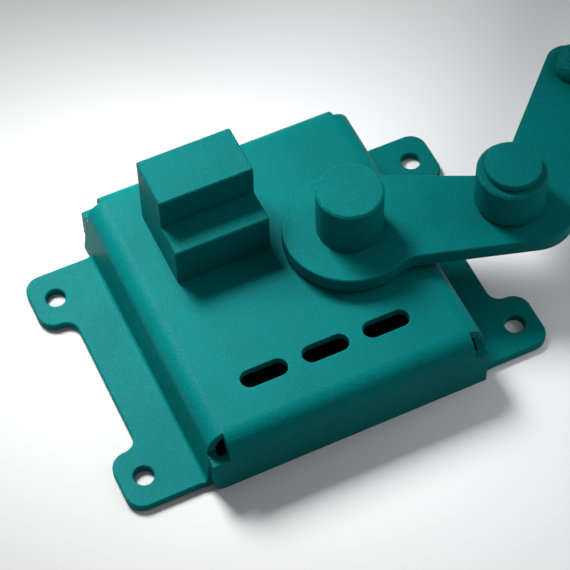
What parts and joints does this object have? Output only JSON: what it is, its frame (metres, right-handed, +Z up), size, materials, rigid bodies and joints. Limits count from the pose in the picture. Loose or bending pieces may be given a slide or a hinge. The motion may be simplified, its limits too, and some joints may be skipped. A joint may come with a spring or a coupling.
{
  "type": "rebar bender",
  "caption": "Bench-mounted hand rebar bender: formed steel base with bolting ears, stepped stop block, forming pin and a swinging lever with bending roller and tube handle.",
  "frame": {"origin": "centre of the four base bolt holes, on the plane of the bench", "axes": "+Z up off the bench, +X towards the side where the lever lies at rest, +Y away from the operator towards the stop block"},
  "size_m": [0.6102, 0.3962, 0.1015],
  "materials": {
    "base_coat": "fine-textured teal powder coat, satin",
    "inner_coat": "thin powder coat over unground welds",
    "block_coat": "fine-textured teal powder coat, satin",
    "pin_coat": "fine-textured teal powder coat, satin",
    "lever_coat": "fine-textured teal powder coat, satin",
    "zinc_steel": "zinc plated, dull",
    "black_steel": "black oxide, oiled",
    "bronze": "turned bronze, greased",
    "grip_rubber": "moulded black rubber, matt",
    "cap_plastic": "moulded black plastic"
  },
  "bodies": {
    "base": {"base_plate": "base_coat", "backing_plate": "inner_coat", "backing_plate_welds": "inner_coat", "corner_welds": "inner_coat", "stop_block": "block_coat", "stop_block_bolts": "zinc_steel", "stop_block_washers": "zinc_steel", "forming_pin": "pin_coat", "thrust_washer": "bronze", "pivot_washer": "zinc_steel", "pivot_nut": "zinc_steel", "pivot_split_pin": "zinc_steel"},
    "lever": {"lever_plate": "lever_coat", "lever_bush": "bronze", "roller_pin": "pin_coat", "roller_screw": "black_steel", "roller_washer": "zinc_steel", "handle_tube": "lever_coat", "handle_weld": "lever_coat", "handle_grip": "grip_rubber", "handle_end_cap": "cap_plastic"},
    "roller": {"roller_sleeve": "pin_coat", "roller_bush": "bronze"}
  },
  "joints": [
    {"name": "lever_swing", "type": "hinge", "parent": "base", "child": "lever", "pos_m": [0.0345, 0.0045, 0.039], "axis": [0, 0, 1], "range_deg": [-140, 120]},
    {"name": "roller_spin", "type": "hinge", "parent": "lever", "child": "roller", "pos_m": [0.10462, -0.0135, 0.0544], "axis": [0, 0, 1], "continuous": true}
  ]
}
